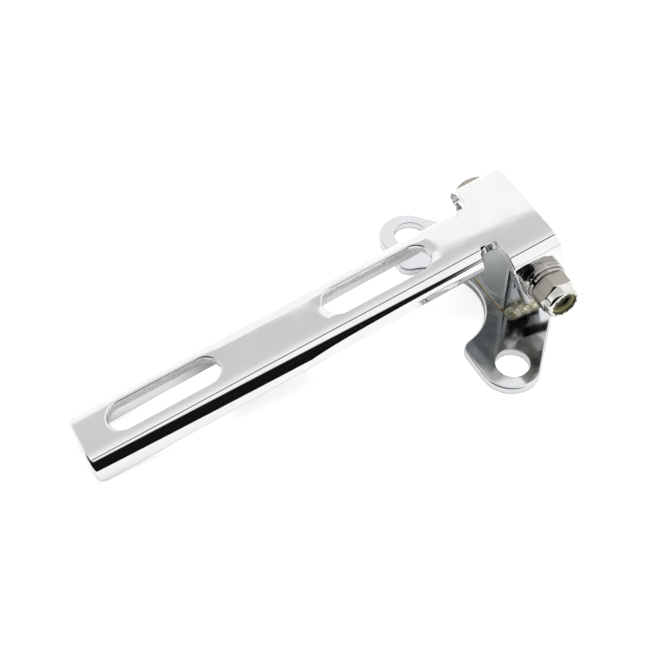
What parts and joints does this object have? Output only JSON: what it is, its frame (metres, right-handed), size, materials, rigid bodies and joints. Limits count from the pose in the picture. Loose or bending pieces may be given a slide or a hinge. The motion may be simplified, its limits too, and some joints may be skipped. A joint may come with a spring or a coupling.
{
  "type": "kickstand",
  "caption": "Chromed side stand: a slotted channel leg folds on a bolt through an upright welded to a bolt-on base plate.",
  "frame": {"origin": "middle of the two mounting holes, on the mounting face of the base plate", "axes": "+X from the foot of the stowed leg towards the pivot, +Z out of the mounting face towards the pivot bolt, Y along the pivot bolt with the lock nut at its -Y end"},
  "size_m": [0.1799, 0.093, 0.0417],
  "materials": {
    "leg_chrome": "bright chrome plate over pressed steel",
    "plate_chrome": "bright chrome plate",
    "bracket_chrome": "bright chrome plate",
    "weld": "plated over a rough weld, stained",
    "sleeve_steel": "turned steel tube",
    "washer_zinc": "zinc plated",
    "spring_zinc": "zinc plated spring steel",
    "bolt_steel": "zinc plated, satin",
    "nut_steel": "zinc plated, satin",
    "insert_nylon": "dull nylon"
  },
  "bodies": {
    "base": {"base_plate": "plate_chrome", "pivot_bracket": "bracket_chrome", "weld_bead_near": "weld", "weld_bead_far": "weld", "pivot_sleeve": "sleeve_steel", "thrust_washer_near": "washer_zinc", "thrust_washer_far": "washer_zinc"},
    "stand_leg": {"leg": "leg_chrome", "pivot_bolt": "bolt_steel", "flat_washer_inner": "washer_zinc", "flat_washer_outer": "washer_zinc", "spring_washer": "spring_zinc", "lock_nut": "nut_steel", "nylon_insert": "insert_nylon"}
  },
  "joints": [
    {"name": "leg_pivot", "type": "hinge", "parent": "base", "child": "stand_leg", "pos_m": [0.0183, 0, 0.0248], "axis": [0, 1, 0], "range_deg": [0, 111.7]}
  ]
}
